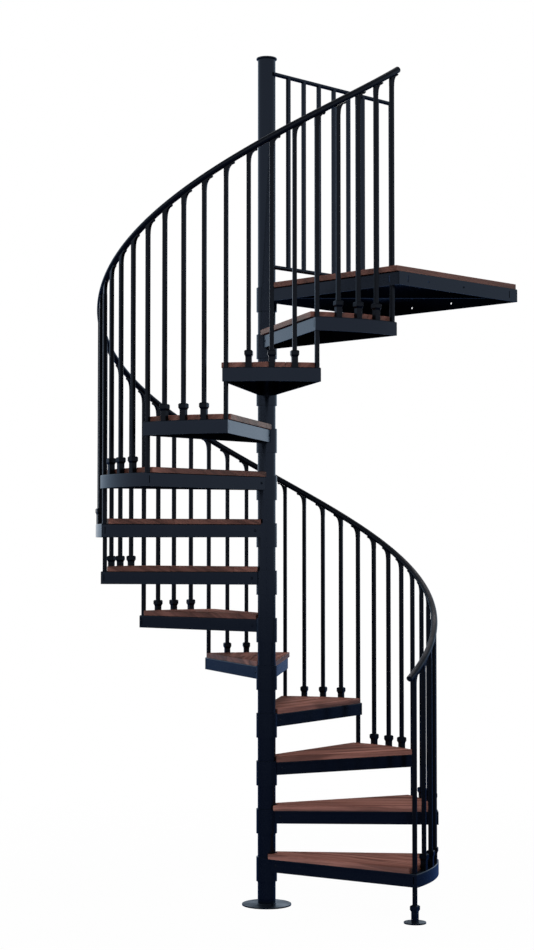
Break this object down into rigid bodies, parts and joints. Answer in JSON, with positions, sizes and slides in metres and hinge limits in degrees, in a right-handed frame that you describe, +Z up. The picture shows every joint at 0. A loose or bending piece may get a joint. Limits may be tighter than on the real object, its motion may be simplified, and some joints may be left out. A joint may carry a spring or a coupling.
{
  "type": "spiral staircase",
  "caption": "Free-standing steel spiral staircase with wood-topped wedge treads round a pole, square balusters, a helical handrail and a square landing with a guard.",
  "frame": {"origin": "on the pole's axis at floor level, the underside of the base plate", "axes": "+Z up; the landing fills the +X +Y corner, with its arrival edge along +X and its guard along +Y"},
  "size_m": [1.6384, 1.6562, 3.984],
  "materials": {
    "coated_steel": "satin",
    "wood_top": "satin"
  },
  "bodies": {
    "root": {"base_plate": "coated_steel", "pole": "coated_steel", "pole_cap": "coated_steel", "floor_foot": "coated_steel", "tread_01_frame": "coated_steel", "tread_02_frame": "coated_steel", "tread_03_frame": "coated_steel", "tread_04_frame": "coated_steel", "tread_05_frame": "coated_steel", "tread_06_frame": "coated_steel", "tread_07_frame": "coated_steel", "tread_08_frame": "coated_steel", "tread_09_frame": "coated_steel", "tread_10_frame": "coated_steel", "tread_11_frame": "coated_steel", "tread_12_frame": "coated_steel", "landing_frame": "coated_steel", "landing_guard": "coated_steel", "long_balusters": "coated_steel", "short_balusters": "coated_steel", "baluster_sockets": "coated_steel", "handrail_saddles": "coated_steel", "handrail": "coated_steel", "tread_01_top": "wood_top", "tread_02_top": "wood_top", "tread_03_top": "wood_top", "tread_04_top": "wood_top", "tread_05_top": "wood_top", "tread_06_top": "wood_top", "tread_07_top": "wood_top", "tread_08_top": "wood_top", "tread_09_top": "wood_top", "tread_10_top": "wood_top", "tread_11_top": "wood_top", "tread_12_top": "wood_top", "landing_deck": "wood_top"}
  },
  "joints": []
}
